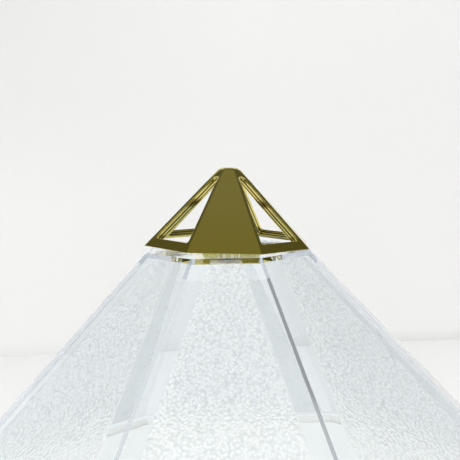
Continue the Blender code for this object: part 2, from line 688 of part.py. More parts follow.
def make_power_switch():
    depth = POWER_SWITCH_SIZE.y
    well = POWER_SWITCH_WELL
    rest_x = PANEL_X - SWITCH_TRAVEL / 2
    body_y = -WALL_IN + GAP + depth / 2
    body = block("power_switch", POWER_SWITCH_SIZE, BLACK, bevel=0.4 * MM,
                 location=(PANEL_X, body_y, SWITCH_Z))
    width = SLIDER_WIDTH + SWITCH_TRAVEL + 2 * GAP
    combine(body, block("switch_well", (width, 2 * well, SLIDER_H + 2 * GAP),
                        location=(PANEL_X, body_y - depth / 2, SWITCH_Z)))
    low = -WALL_IN + well
    front = -(BASE_A + SLIDER_SHOWS)
    block("power_slider", (SLIDER_WIDTH, low - front, SLIDER_H), GOLD, bevel=0.4 * MM,
          location=(rest_x, (low + front) / 2, SWITCH_Z))


def make_tap_button():
    """A sprung button that is pressed inwards, and the tact switch behind it."""
    reach = BASE_WALL + BUTTON_SHOWS
    edge = BUTTON_D / 2
    stem = 3.5 * MM
    turned("tap_button", [(0, reach + 0.4 * MM), (edge - 1.5 * MM, reach + 0.3 * MM),
                          (edge - 0.4 * MM, reach - 0.1 * MM), (edge, reach - 0.8 * MM),
                          (edge, -GAP), (edge + 1 * MM, -GAP), (edge + 1 * MM, -1.3 * MM),
                          (1.5 * MM, -1.3 * MM), (1.5 * MM, -stem), (0, -stem)], GOLD,
           location=(PANEL_X, -WALL_IN, BUTTON_Z), rotation=TO_FRONT)
    front = -WALL_IN + stem + BUTTON_TRAVEL + GAP
    block("tap_switch", TAP_SWITCH_SIZE, BLACK, bevel=0.3 * MM,
          location=(PANEL_X, front + TAP_SWITCH_SIZE.y / 2, BUTTON_Z + 1.2 * MM))


def make_battery_bay():
    wide = 3 * CELL_PITCH + 1.5 * MM
    high = CELL_D + 1.6 * MM
    end = CELL_END - 2 * MM
    box = block("battery_box", (wide + 2 * BOX_WALL, BOX_DEPTH, high + 2 * BOX_WALL), BLACK,
                location=(0, end - BOX_DEPTH / 2, CELL_Z))
    combine(box, block("box_inside", (wide, BOX_DEPTH, high),
                       location=(0, end - BOX_DEPTH / 2 + BOX_WALL, CELL_Z)))
    columns = (-CELL_PITCH, 0.0, CELL_PITCH)

    edge = CELL_D / 2
    nub = CELL_NUB_D / 2
    start = CELL_END - CELL_LENGTH - CELL_NUB_H
    for i, x in enumerate(columns):
        end_on = {"location": (x, start, CELL_Z), "rotation": TO_BACK}
        if i % 2:
            end_on = {"location": (x, CELL_END, CELL_Z), "rotation": TO_FRONT}
        turned("battery_cell_%d" % (i + 1), [
            (0, CELL_LENGTH + CELL_NUB_H), (nub, CELL_LENGTH + CELL_NUB_H), (nub, CELL_LENGTH),
            (edge - 0.5 * MM, CELL_LENGTH), (edge, CELL_LENGTH - 0.5 * MM), (edge, 0.5 * MM),
            (edge - 0.5 * MM, 0), (0, 0)], CELL, steps=24, **end_on)

    strip = 0.4 * MM
    strip_y = end - BOX_DEPTH + BOX_WALL + GAP
    block("battery_contact", (2.8 * CELL_PITCH, strip, 10 * MM), STEEL,
          location=(0, strip_y + strip / 2, CELL_Z))
    spring_y = strip_y + strip + GAP
    for i, x in enumerate(columns):
        coil("battery_spring_%d" % (i + 1), start - GAP - spring_y,
             location=(x, spring_y, CELL_Z), rotation=TO_BACK)


def coil(name, length, **place):
    """A tapering wire coil about Z, from z = 0 to its length."""
    turns = 2.5
    per_turn = 12
    count = int(turns * per_turn)
    curve = bpy.data.curves.new(name, "CURVE")
    curve.dimensions = "3D"
    curve.bevel_depth = SPRING_WIRE / 2
    curve.bevel_resolution = 1
    curve.use_fill_caps = True
    line = curve.splines.new("POLY")
    line.points.add(count)
    for i, point in enumerate(line.points):
        part = i / count
        turn = 2 * math.pi * turns * part
        reach = (SPRING_D - SPRING_WIRE) / 2 * (1 - 0.4 * part)
        rise = SPRING_WIRE / 2 + (length - SPRING_WIRE) * part
        point.co = (reach * math.cos(turn), reach * math.sin(turn), rise, 1)
    add(name, curve, STEEL, **place)


def make_battery_door():
    """A panel with a rounded foot, hinged on a pin through that foot."""
    swing = new_empty("door_swing", (0, BASE_A - BASE_WALL / 2, door_axis_z()), AXIS)
    width = DOOR_WIDTH - 2 * GAP
    half = DOOR_WALL / 2
    top = DOOR_BOTTOM_Z + DOOR_H - GAP - door_axis_z()
    door = block("battery_door", (width, DOOR_WALL, top), WHITE, parent=swing,
                 location=(0, 0, top / 2))
    along_x = (0, math.radians(90), 0)
    combine(door, rod("door_foot", DOOR_WALL, width, [(0, 0, 0)], steps=24, parent=swing,
                      location=(-width / 2, 0, 0), rotation=along_x), "UNION")
    combine(door, rod("door_bore", DOOR_PIN_D + GAP, width + 2 * MM, [(0, 0, 0)], steps=12,
                      parent=swing, location=(-width / 2 - MM, 0, 0), rotation=along_x))
    combine(door, block("finger_groove", (18 * MM, 1.4 * MM, 1.6 * MM), parent=swing,
                        location=(0, half, top - 3 * MM)))
    pin = DOOR_WIDTH + 5 * MM
    rod("door_pin", DOOR_PIN_D - GAP, pin, [(0, 0, 0)], STEEL, steps=12, parent=swing,
        location=(-pin / 2, 0, 0), rotation=along_x)
    plate_y = -half - GAP - 0.2 * MM
    block("door_contact", (2.6 * CELL_PITCH, 0.4 * MM, 9 * MM), STEEL, parent=swing,
          location=(0, plate_y, CELL_Z - door_axis_z()))


def make_earphone_socket():
    thread = JACK_THREAD_D / 2
    body = JACK_BODY_D / 2
    bore = JACK_BORE_D / 2
    reach = BASE_WALL + JACK_SHOWS
    back = JACK_DEPTH
    spot = (JACK_X, WALL_IN, PANEL_Z)
    turned("earphone_socket", [(0, -back + 1.5 * MM), (bore, -back + 1.5 * MM), (bore, reach),
                               (thread, reach), (thread, -GAP), (body, -GAP), (body, -back),
                               (0, -back)], BLACK, steps=24, location=spot, rotation=TO_BACK)
    hexagon_nut("socket_nut", JACK_NUT_A, thread + GAP, GAP, JACK_NUT_H,
                location=(JACK_X, BASE_A, PANEL_Z), rotation=TO_BACK)


def make_circuit_board():
    board = block("circuit_board", BOARD_SIZE, BOARD,
                  location=BOARD_AT + Vector((0, 0, BOARD_SIZE.z / 2)))
    combine(board, rod("board_holes", SCREW_D + 2 * GAP, 6 * MM,
                       board_fixings(BOARD_AT.z - 2 * MM), steps=16))
    top = Vector((0, 0, BOARD_AT.z + BOARD_SIZE.z + GAP))
    for name, spot, size in CHIPS:
        lift = Vector((0, 0, size.z / 2))
        block(name, size * MM, BLACK, bevel=0.2 * MM, location=top + (spot + lift) * MM)
    can = CAN_D / 2
    for name, spot in CANS:
        turned(name, [(0, CAN_H), (can - 0.4 * MM, CAN_H), (can, CAN_H - 0.4 * MM),
                      (can, 0), (0, 0)], BLACK, steps=20, location=top + spot * MM)


clear_scene()
PARTS = new_collection("metronome")
CUTTERS = new_collection("cutters")
AXIS = new_empty("metronome_axis", (0, AXIS_Y, 0))
CASE = new_empty("case_lift", (0, 0, 0), AXIS)
CAP_SEAT = new_empty("cap_seat", (0, 0, SEAT_Z), CASE)
CAP_SEAT.rotation_euler = (0, CAP_TILT, CAP_TURN)

make_base_housing()
make_bottom_cover()
make_fasteners_and_feet()
make_clear_case()
make_gold_cap()
make_cap_fixing()
make_reflector_floor()
make_lamp()
make_speaker()
make_tempo_control()
make_volume_control()
make_power_switch()
make_tap_button()
make_battery_bay()
make_battery_door()
make_earphone_socket()
make_circuit_board()
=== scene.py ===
"""Looks of the clear-cased flash metronome: materials, dial, marks, light and camera.

Metres, +Z up, front towards -Y, in the CAD's own frame.
"""

import json
import math

import bmesh
import bpy
from mathutils import Euler, Matrix, Vector

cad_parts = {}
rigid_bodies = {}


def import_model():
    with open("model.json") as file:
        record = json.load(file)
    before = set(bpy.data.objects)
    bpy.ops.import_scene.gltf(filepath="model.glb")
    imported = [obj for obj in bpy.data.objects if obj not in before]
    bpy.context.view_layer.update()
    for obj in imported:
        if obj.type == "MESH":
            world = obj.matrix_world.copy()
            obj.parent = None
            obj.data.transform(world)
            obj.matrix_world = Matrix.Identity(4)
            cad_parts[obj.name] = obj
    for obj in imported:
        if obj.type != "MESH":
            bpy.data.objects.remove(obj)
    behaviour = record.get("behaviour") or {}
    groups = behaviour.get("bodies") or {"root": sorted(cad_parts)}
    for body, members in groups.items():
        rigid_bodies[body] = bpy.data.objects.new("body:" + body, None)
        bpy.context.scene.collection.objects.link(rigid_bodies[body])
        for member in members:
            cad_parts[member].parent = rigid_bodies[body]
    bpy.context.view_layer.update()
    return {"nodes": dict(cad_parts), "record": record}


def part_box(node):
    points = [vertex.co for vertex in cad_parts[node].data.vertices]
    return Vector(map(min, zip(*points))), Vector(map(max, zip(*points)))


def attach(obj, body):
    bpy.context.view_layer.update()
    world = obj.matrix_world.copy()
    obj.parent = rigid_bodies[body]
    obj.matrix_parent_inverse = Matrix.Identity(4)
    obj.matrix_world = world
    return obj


for leftover in list(bpy.data.objects):
    bpy.data.objects.remove(leftover)

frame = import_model()
NODES = frame["nodes"]

MM = 0.001
HALF_SECTOR = math.pi / 8
TAN_HALF = math.tan(HALF_SECTOR)


def middle(node):
    """The centre of a CAD node's box."""
    low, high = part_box(node)
    return (low + high) / 2


CASE_LOW, CASE_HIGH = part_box("clear_case")
AXIS_Y = (CASE_LOW.y + CASE_HIGH.y) / 2
CASE_A = (CASE_HIGH.y - CASE_LOW.y) / 2
FOLD_Z = CASE_LOW.z + 5.3 * MM           # where the upright skirt meets the slopes
DECK_A = 21.4 * MM
DECK_Z = CASE_HIGH.z
BASE_FRONT = AXIS_Y - 101.0 * MM

# ---------------------------------------------------------------- node graphs


class Graph:
    """A node tree, with short calls that add a node and feed its inputs."""

    def __init__(self, tree):
        self.tree = tree
        tree.nodes.clear()

    def add(self, kind, feeds=None, **settings):
        node = self.tree.nodes.new("ShaderNode" + kind)
        for key, value in settings.items():
            setattr(node, key, value)
        for key, value in (feeds or {}).items():
            if isinstance(value, bpy.types.NodeSocket):
                self.tree.links.new(value, node.inputs[key])
            else:
                node.inputs[key].default_value = value
        return node

    def math(self, operation, *values):
        return self.add("Math", dict(enumerate(values)), operation=operation).outputs[0]

    def remap(self, value, low, high, to_low=0.0, to_high=1.0, smooth=False):
        node = self.add("MapRange", {"Value": value, "From Min": low, "From Max": high,
                                     "To Min": to_low, "To Max": to_high},
                        interpolation_type="SMOOTHSTEP" if smooth else "LINEAR")
        return node.outputs["Result"]

    def noise(self, scale, detail=3.0, roughness=0.5, vector=None):
        feeds = {"Scale": scale, "Detail": detail, "Roughness": roughness}
        feeds["Vector"] = vector or self.place()
        return self.add("TexNoise", feeds).outputs["Fac"]

    def place(self):
        """The point's place in the CAD frame, carried along when its body moves."""
        return self.add("TexCoord").outputs["Object"]

    def parts(self, vector):
        return self.add("SeparateXYZ", {"Vector": vector}).outputs

    def blend(self, share, first, second):
        node = self.add("Mix", data_type="RGBA", clamp_factor=True)
        for index, value in ((0, share), (6, first), (7, second)):
            if isinstance(value, bpy.types.NodeSocket):
                self.tree.links.new(value, node.inputs[index])
            else:
                node.inputs[index].default_value = value
        return node.outputs[2]

    def bump(self, height, depth, normal=None):
        feeds = {"Height": height, "Distance": depth, "Strength": 1.0}
        if normal:
            feeds["Normal"] = normal
        return self.add("Bump", feeds).outputs["Normal"]

    def edges(self, radius):
        """1 on flats, falling towards 0 at edges: the shading normal against a rounded one."""
        rounded = self.add("Bevel", {"Radius": radius}, samples=4).outputs[0]
        flat = self.add("NewGeometry").outputs["Normal"]
        return self.add("VectorMath", {0: rounded, 1: flat},
                        operation="DOT_PRODUCT").outputs["Value"]

    def finish(self, shader):
        self.add("OutputMaterial", {"Surface": shader})


def rgb(red, green, blue):
    return (red, green, blue, 1.0)


def new_material(name):
    made = bpy.data.materials.new(name)
    made.use_nodes = True
    return made, Graph(made.node_tree)


def surface(name, colour, second, roughness, *, patch=60.0, grain=2500.0, depth=0.01 * MM,
            spread=0.08, metallic=0.0, worn=None, coat=0.0, ior=1.5):
    """An opaque finish: two mixed tones, uneven gloss, a fine grain and worn edges."""
    made, graph = new_material(name)
    tone = graph.blend(graph.noise(patch, 4.0), colour, second)
    gloss = graph.remap(graph.noise(3.1 * patch, 5.0, 0.65), 0.3, 0.7,
                        roughness - spread, roughness + spread)
    if worn:
        edge = graph.remap(graph.edges(0.5 * MM), 0.80, 0.99, 1.0, 0.0)
        rub_and_sheen = graph.math("MULTIPLY", edge, graph.remap(graph.noise(700.0), 0.35, 0.65))
        tone = graph.blend(graph.math("MULTIPLY", rub_and_sheen, 0.6), tone, worn)
    fine = graph.bump(graph.noise(grain, 2.0), depth)
    wave = graph.bump(graph.noise(90.0, 2.0), 0.02 * MM, fine)
    shader = graph.add("BsdfPrincipled", {
        "Base Color": tone, "Roughness": gloss, "Normal": wave, "Metallic": metallic,
        "Coat Weight": coat, "Coat Roughness": 0.15, "IOR": ior})
    graph.finish(shader.outputs[0])
    return made


# ---------------------------------------------------------------- materials


def panel_place(graph):
    """Outputs (across, apothem) of a point in its own one of the case's eight sectors."""
    x, y, z = graph.parts(graph.place())[:3]
    back = graph.math("SUBTRACT", y, AXIS_Y)
    angle = graph.math("ARCTAN2", x, graph.math("MULTIPLY", back, -1.0))
    sector = 2 * HALF_SECTOR
    turns = graph.math("ROUND", graph.math("DIVIDE", angle, sector))
    local = graph.math("SUBTRACT", angle, graph.math("MULTIPLY", turns, sector))
    reach = graph.math("SQRT", graph.math("ADD", graph.math("MULTIPLY", x, x),
                                          graph.math("MULTIPLY", back, back)))
    across = graph.math("MULTIPLY", reach, graph.math("SINE", local))
    apothem = graph.math("MULTIPLY", reach, graph.math("COSINE", local))
    return across, apothem, z


def pebbled_mask(graph):
    """1 on the outside of the sloping panels, except for the clear margins by the ribs."""
    across, apothem, z = panel_place(graph)
    half = graph.math("MULTIPLY", apothem, TAN_HALF)
    from_rib = graph.math("SUBTRACT", half, graph.math("ABSOLUTE", across))
    inside = graph.remap(from_rib, MARGIN, MARGIN + 0.5 * MM, smooth=True)
    slope = (CASE_A - DECK_A) / (DECK_Z - FOLD_Z)
    outer = graph.math("SUBTRACT", CASE_A,
                       graph.math("MULTIPLY", graph.math("SUBTRACT", z, FOLD_Z), slope))
    depth = graph.math("SUBTRACT", outer, apothem)
    on_skin = graph.remap(depth, 0.2 * MM, 0.4 * MM, 1.0, 0.0)
    above = graph.remap(z, FOLD_Z + 0.3 * MM, FOLD_Z + 0.9 * MM, smooth=True)
    below = graph.remap(z, DECK_Z - 0.4 * MM, DECK_Z - 0.2 * MM, 1.0, 0.0)
    mask = graph.math("MULTIPLY", inside, on_skin)
    return graph.math("MULTIPLY", mask, graph.math("MULTIPLY", above, below))


MARGIN = 5.0 * MM            # the smooth strip beside each rib
MARGIN_TINT = rgb(0.925, 0.945, 0.950)
PEBBLE_SCALE = 1450.0
PEBBLE_DEPTH = 0.05 * MM
# painted shade: the hollows between the pebbles are darker
PEBBLE_VALLEY_SHADE = rgb(0.70, 0.725, 0.73)
PEBBLE_SCATTER = 0.24        # share of the light that the pebbled skin scatters
ACRYLIC_IOR = 1.49
MOST_PASSES = 5.5            # light that crosses more surfaces than this goes straight on
PANEL_BOUNCES, DECK_BOUNCES = 0.5, 1.5      # and so does light reflected more often inside
THROUGH_TINT = rgb(0.93, 0.94, 0.945)       # what is left of it, by which of the two it was
TRAPPED_TINT = rgb(0.84, 0.855, 0.875)


def clear_acrylic():
    """Clear acrylic: smooth margins along the ribs, a pebbled skin between them.

    Light that stays caught inside would end dark, so it is let out straight instead.
    """
    made, graph = new_material("clear_acrylic_pebbled")
    mask = pebbled_mask(graph)
    pebble = graph.add("TexVoronoi", {"Vector": graph.place(), "Scale": PEBBLE_SCALE,
                                      "Smoothness": 0.15, "Randomness": 1.0},
                       feature="SMOOTH_F1").outputs["Distance"]
    height = graph.math("MULTIPLY", graph.math("MULTIPLY", pebble, -1.0), mask)
    grain = graph.bump(height, PEBBLE_DEPTH)
    drawn = graph.bump(graph.noise(45.0, 2.0), 0.002 * MM, grain)
    scuff = graph.remap(graph.noise(240.0, 4.0), 0.3, 0.7, 0.0, 0.03)
    gloss = graph.math("ADD", scuff, graph.math("MULTIPLY", mask, 0.16))
    tint = graph.blend(graph.noise(30.0), rgb(0.964, 0.985, 0.990), rgb(0.954, 0.978, 0.985))
    tint = graph.blend(mask, MARGIN_TINT, tint)
    # painted shade in the hollows of the pebbled skin
    valley_shade = graph.math("MULTIPLY", graph.remap(pebble, 0.25, 0.80), mask)
    tint = graph.blend(valley_shade, tint, PEBBLE_VALLEY_SHADE)
    through = graph.math("SUBTRACT", 1.0, graph.math("MULTIPLY", mask, PEBBLE_SCATTER))
    glass = graph.add("BsdfPrincipled", {
        "Base Color": tint, "Roughness": gloss, "Normal": drawn, "IOR": ACRYLIC_IOR,
        "Transmission Weight": through})
    path = graph.add("LightPath").outputs
    crossed = graph.math("GREATER_THAN", path["Transmission Depth"], MOST_PASSES)
    z = graph.parts(graph.place())[2]
    bounces = graph.remap(z, DECK_Z - 4 * MM, DECK_Z - 3 * MM, PANEL_BOUNCES, DECK_BOUNCES)
    trapped = graph.math("GREATER_THAN", path["Glossy Depth"], bounces)
    veil = graph.add("BsdfTransparent", {
        "Color": graph.blend(trapped, THROUGH_TINT, TRAPPED_TINT)})
    straight = graph.math("MAXIMUM", path["Is Shadow Ray"],
                          graph.math("MAXIMUM", crossed, trapped))
    mixed = graph.add("MixShader", {0: straight, 1: glass.outputs[0], 2: veil.outputs[0]})
    graph.finish(mixed.outputs[0])
    return made


CAP_A = 21.6 * MM            # the cap as in the CAD: a pyramid that leans on its screw
CAP_RISE = 23.3 * MM
CAP_SOLID_HALF = 9.25 / 21.6  # half a solid face at the foot, as a share of CAP_A
CAP_OPEN_A = CAP_A * (1 + CAP_SOLID_HALF) * math.sqrt(0.5)
CAP_LIFT = 0.9 * MM
CAP_SEAT_Z = DECK_Z + 0.3 * MM
CAP_LEAN = (0.0, math.radians(2.1), math.radians(-1.35))
CAP_WALL = 2.2 * MM
LIP = 0.25 * MM              # the depth below its outside where the painted shade on the cut edge starts
CUT_SHADE = 0.88              # how dark the painted shade makes the cut edge, and the inner side of the wall
INNER_SHADE = 0.10
CUT_TOP = CAP_RISE - 5.0 * MM               # the windows end here, below the blunt nose


def cap_depth(graph):
    """How deep a point lies below the cap's outside, and its height above the foot."""
    level = graph.add("Mapping", {"Vector": graph.place(), "Rotation": CAP_LEAN,
                                  "Location": (0.0, AXIS_Y, CAP_SEAT_Z)},
                      vector_type="TEXTURE").outputs[0]
    x, y, z = graph.parts(level)[:3]
    x = graph.math("ABSOLUTE", x)
    y = graph.math("ABSOLUTE", y)
    z = graph.math("SUBTRACT", z, CAP_LIFT)
    share = graph.math("SUBTRACT", 1.0, graph.math("DIVIDE", z, CAP_RISE))
    depths = []
    for apothem, reach in ((CAP_A, graph.math("MAXIMUM", x, y)),
                           (CAP_OPEN_A, graph.math("MULTIPLY", graph.math("ADD", x, y),
                                                   math.sqrt(0.5)))):
        lean = math.sin(math.atan(CAP_RISE / apothem))
        gap = graph.math("SUBTRACT", graph.math("MULTIPLY", share, apothem), reach)
        depths.append(graph.math("MULTIPLY", gap, lean))
    return graph.math("MINIMUM", *depths), z


def gold_plate(name, cap=False):
    """Lacquered gold, paler along its edges with rubbed wear and a painted highlight. The cap's
    has painted shade along the cut edges of its windows, on the inner side of its wall, in its
    corners and towards its foot.
    """
    made, graph = new_material(name)
    tone = graph.blend(graph.noise(120.0, 4.0), rgb(0.83, 0.73, 0.23), rgb(0.80, 0.69, 0.21))
    # painted highlight and rubbed wear: the gold turns a paler cream along its edges, in patches
    edge = graph.remap(graph.edges(0.4 * MM), 0.80, 0.99, 1.0, 0.0)
    rub_and_sheen = graph.math("MULTIPLY", edge, graph.remap(graph.noise(900.0), 0.3, 0.6))
    tone = graph.blend(graph.math("MULTIPLY", rub_and_sheen, 0.5), tone, rgb(0.95, 0.84, 0.52))
    gloss = graph.remap(graph.noise(420.0, 5.0, 0.7), 0.35, 0.7, 0.07, 0.16)
    peel = graph.bump(graph.noise(260.0, 3.0), 0.012 * MM)
    if cap:
        depth, height = cap_depth(graph)
        # painted shade: the gold turns darker and a deeper yellow towards the cap's foot
        foot = graph.remap(height, 0.0, 0.6 * CAP_RISE, 0.85, 0.0)
        tone = graph.blend(foot, tone, rgb(0.76, 0.64, 0.12))
        # painted shade along the windows' cut edges and on the inner side of the wall
        cut = graph.math("MINIMUM", graph.remap(depth, LIP, 2 * LIP, 0.0, CUT_SHADE),
                         graph.remap(depth, CAP_WALL - 0.15 * MM, CAP_WALL - 0.05 * MM,
                                     CUT_SHADE, INNER_SHADE))
        below_nose = graph.remap(height, CUT_TOP, CUT_TOP + 0.2 * MM, 1.0, 0.0)
        tone = graph.blend(graph.math("MULTIPLY", cut, below_nose), tone,
                           rgb(0.06, 0.05, 0.015))
        # painted shade: the gold turns near black in tight corners and hollows, by ambient
        # occlusion
        painted_corner_shade = graph.add("AmbientOcclusion", {"Distance": 2.0 * MM}, samples=8)
        tone = graph.blend(graph.remap(painted_corner_shade.outputs["AO"], 0.35, 0.80, 1.0, 0.0), tone,
                           rgb(0.05, 0.04, 0.01))
        nose = graph.remap(height, CAP_RISE - 7 * MM, CAP_RISE - 4 * MM, 0.15 * MM, 1.6 * MM)
        rounded = graph.add("Bevel", {"Radius": nose}, samples=8).outputs[0]
        peel = graph.bump(graph.noise(260.0, 3.0), 0.012 * MM, rounded)
    shader = graph.add("BsdfPrincipled", {"Base Color": tone, "Roughness": gloss,
                                          "Normal": peel, "Metallic": 1.0})
    graph.finish(shader.outputs[0])
    return made


def clouded(name, colour, roughness, through):
    """A milky translucent finish, for the lamp's lens."""
    made, graph = new_material(name)
    tone = graph.blend(graph.noise(200.0, 4.0), colour, rgb(0.80, 0.80, 0.77))
    gloss = graph.remap(graph.noise(600.0, 4.0), 0.3, 0.7, roughness - 0.08, roughness + 0.08)
    normal = graph.bump(graph.noise(1600.0, 3.0), 0.02 * MM)
    shader = graph.add("BsdfPrincipled", {
        "Base Color": tone, "Roughness": gloss, "Normal": normal, "IOR": 1.45,
        "Transmission Weight": through, "Subsurface Weight": 0.0})
    graph.finish(shader.outputs[0])
    return made


def circuit_board():
    """Green solder mask over a brick-like pattern of traces."""
    made, graph = new_material("green_circuit_board")
    traces = graph.add("TexBrick", {
        "Vector": graph.place(), "Scale": 260.0, "Mortar Size": 0.02, "Bias": -0.2,
        "Color1": rgb(0.0, 0.0, 0.0), "Color2": rgb(0.25, 0.25, 0.25),
        "Mortar": rgb(1.0, 1.0, 1.0)}).outputs["Color"]
    tone = graph.blend(graph.noise(150.0), rgb(0.015, 0.16, 0.06), rgb(0.02, 0.20, 0.08))
    tone = graph.blend(traces, tone, rgb(0.05, 0.30, 0.13))
    height = graph.add("RGBToBW", {"Color": traces}).outputs[0]
    normal = graph.bump(height, 0.04 * MM, graph.bump(graph.noise(2200.0), 0.01 * MM))
    shader = graph.add("BsdfPrincipled", {"Base Color": tone, "Roughness": 0.35,
                                          "Normal": normal})
    graph.finish(shader.outputs[0])
    return made


def cell_jacket():
    """A plain dark blue wrap with light scuffs, and bare metal on the end faces."""
    made, graph = new_material("cell_jacket_plain")
    tone = graph.blend(graph.noise(150.0, 4.0), rgb(0.05, 0.09, 0.20), rgb(0.07, 0.12, 0.25))
    tone = graph.blend(graph.remap(graph.noise(400.0, 5.0), 0.55, 0.8), tone,
                       rgb(0.22, 0.25, 0.32))
    facing = graph.parts(graph.add("NewGeometry").outputs["Normal"])[1]
    end = graph.math("GREATER_THAN", graph.math("ABSOLUTE", facing), 0.8)
    tone = graph.blend(end, tone, rgb(0.72, 0.72, 0.70))
    normal = graph.bump(graph.noise(500.0, 3.0), 0.02 * MM)
    shader = graph.add("BsdfPrincipled", {"Base Color": tone, "Roughness": 0.32,
                                          "Metallic": graph.math("MULTIPLY", end, 0.9),
                                          "Normal": normal})
    graph.finish(shader.outputs[0])
    return made


def speaker_paper():
    """Black pressed paper with fibres and rings about the speaker's axis."""
    made, graph = new_material("pressed_paper")
    centre = middle("speaker_cone")
    shifted = graph.add("VectorMath", {0: graph.place(), 1: tuple(centre)},
                        operation="SUBTRACT").outputs[0]
    x, y = graph.parts(shifted)[:2]
    reach = graph.math("SQRT", graph.math("ADD", graph.math("MULTIPLY", x, x),
                                          graph.math("MULTIPLY", y, y)))
    rings = graph.math("SINE", graph.math("MULTIPLY", reach, 2 * math.pi / (1.6 * MM)))
    fibres = graph.noise(1300.0, 6.0, 0.75)
    height = graph.math("ADD", graph.math("MULTIPLY", rings, 0.4), fibres)
    tone = graph.blend(fibres, rgb(0.02, 0.02, 0.02), rgb(0.09, 0.085, 0.08))
    shader = graph.add("BsdfPrincipled", {"Base Color": tone, "Roughness": 0.85,
                                          "Normal": graph.bump(height, 0.06 * MM)})
    graph.finish(shader.outputs[0])
    return made


FINISH = {
    "white_plastic": surface("white_satin_plastic", rgb(0.80, 0.80, 0.78),
                             rgb(0.76, 0.76, 0.74), 0.38, depth=0.015 * MM,
                             worn=rgb(0.62, 0.61, 0.58)),
    "clear_acrylic": clear_acrylic(),
    "gold_plate": gold_plate("polished_gold"),
    "frosted_lens": clouded("frosted_lens_milky", rgb(0.90, 0.90, 0.87), 0.45, 0.55),
    "grey_rubber": surface("grey_rubber_matt", rgb(0.05, 0.05, 0.05), rgb(0.08, 0.08, 0.08),
                           0.75, depth=0.03 * MM, worn=rgb(0.16, 0.15, 0.14)),
    "nickel_steel": surface("nickel_steel_brushed", rgb(0.70, 0.69, 0.66),
                            rgb(0.60, 0.59, 0.57), 0.28, metallic=1.0, grain=3500.0,
                            worn=rgb(0.85, 0.84, 0.82)),
    "circuit_board": circuit_board(),
    "black_plastic": surface("black_plastic_moulded", rgb(0.018, 0.018, 0.02),
                             rgb(0.030, 0.030, 0.032), 0.42, depth=0.02 * MM,
                             worn=rgb(0.10, 0.10, 0.10)),
    "speaker_paper": speaker_paper(),
    "cell_jacket": cell_jacket(),
    "scale_plate": surface("scale_plate_satin", rgb(0.84, 0.84, 0.81), rgb(0.79, 0.79, 0.76),
                           0.33, depth=0.008 * MM, worn=rgb(0.55, 0.54, 0.52)),
    "lamp_emitter": surface("lamp_phosphor", rgb(0.86, 0.72, 0.20), rgb(0.80, 0.62, 0.14),
                            0.45, depth=0.02 * MM),
}
CAP_GOLD = gold_plate("polished_gold_cap", True)
PRINT = surface("print_dark", rgb(0.045, 0.045, 0.05), rgb(0.075, 0.075, 0.08), 0.5,
                depth=0.005 * MM)


def soften(node, width, segments=3, angle=20.0):
    """Rounds a CAD node's sharp edges."""
    mod = NODES[node].modifiers.new("soften", "BEVEL")
    mod.width = width
    mod.segments = segments
    mod.limit_method = "ANGLE"
    mod.angle_limit = math.radians(angle)


def dress_nodes():
    """Gives each CAD node the finish of its slot."""
    for part in frame["record"]["subparts"]:
        obj = NODES[part["node"]]
        obj.data.materials.clear()
        obj.data.materials.append(FINISH[part["material_slot"]])
    NODES["gold_cap"].data.materials[0] = CAP_GOLD


# ---------------------------------------------------------------- printed and moulded details

PRINT_H = 0.03 * MM
TEMPOS = (40, 60, 80, 100, 120, 144, 168, 184, 208)
SCALE_SWEEP = math.radians(280)
DIAL_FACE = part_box("tempo_dial")[0].y
PANEL_Z = middle("tempo_dial").z


def add_piece(name, bm, body, material, smooth=False):
    """Makes a piece that rides on a body and takes a slot's finish."""
    bmesh.ops.recalc_face_normals(bm, faces=bm.faces)
    for face in bm.faces:
        face.smooth = smooth
    mesh = bpy.data.meshes.new(name)
    bm.to_mesh(mesh)
    bm.free()
    mesh.materials.append(material)
    piece = bpy.data.objects.new(name, mesh)
    bpy.context.scene.collection.objects.link(piece)
    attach(piece, body)
    return piece


def on_front(x, z, face):
    """A frame on a face towards -Y: its X runs right, its Y runs up, its Z comes out."""
    return Matrix.Translation((x, face, z)) @ Matrix.Rotation(math.radians(90), 4, "X")


def add_prism(bm, outline, height, place):
    """A flat shape of (x, y) points, raised by height along its own Z."""
    lower = [bm.verts.new(place @ Vector((x, y, 0))) for x, y in outline]
    upper = [bm.verts.new(place @ Vector((x, y, height))) for x, y in outline]
    bm.faces.new(lower[::-1])
    bm.faces.new(upper)
    count = len(outline)
    for i in range(count):
        j = (i + 1) % count
        bm.faces.new((lower[i], lower[j], upper[j], upper[i]))


def add_ring(bm, radius, width, height, place, steps=48):
    """A flat ring whose middle runs at radius."""
    loops = []
    for reach, z in ((radius - width / 2, 0), (radius - width / 2, height),
                     (radius + width / 2, height), (radius + width / 2, 0)):
        loops.append([bm.verts.new(place @ Vector((reach * math.cos(2 * math.pi * i / steps),
                                                   reach * math.sin(2 * math.pi * i / steps),
                                                   z))) for i in range(steps)])
    for inner, outer in zip(loops, loops[1:] + loops[:1]):
        for i in range(steps):
            j = (i + 1) % steps
            bm.faces.new((inner[i], inner[j], outer[j], outer[i]))


def bar(width, height, x=0.0, y=0.0):
    """A rectangle's outline, centred on (x, y)."""
    return [(x - width / 2, y - height / 2), (x + width / 2, y - height / 2),
            (x + width / 2, y + height / 2), (x - width / 2, y + height / 2)]


def scale_angle(share):
    """Where a share of the sweep lies on the dial, clockwise from the lower left."""
    return SCALE_SWEEP * (0.5 - share)


WINDOW_FRAME = 1.0 * MM      # the cap's windows, as the CAD cuts them
WINDOW_SILL = 2.9 * MM
WINDOW_TOP = 7.0 * MM
WINDOW_ROUND = 0.75 * MM
CAP_SPREAD = CAP_A * (1 - CAP_SOLID_HALF) * math.sqrt(0.5)   # half an open face, at its foot
BEADS = ((0.20, 0.75, 0.16), (1.10, 1.55, 0.16), (1.85, 2.15, 0.10))   # mm: from, to, stand


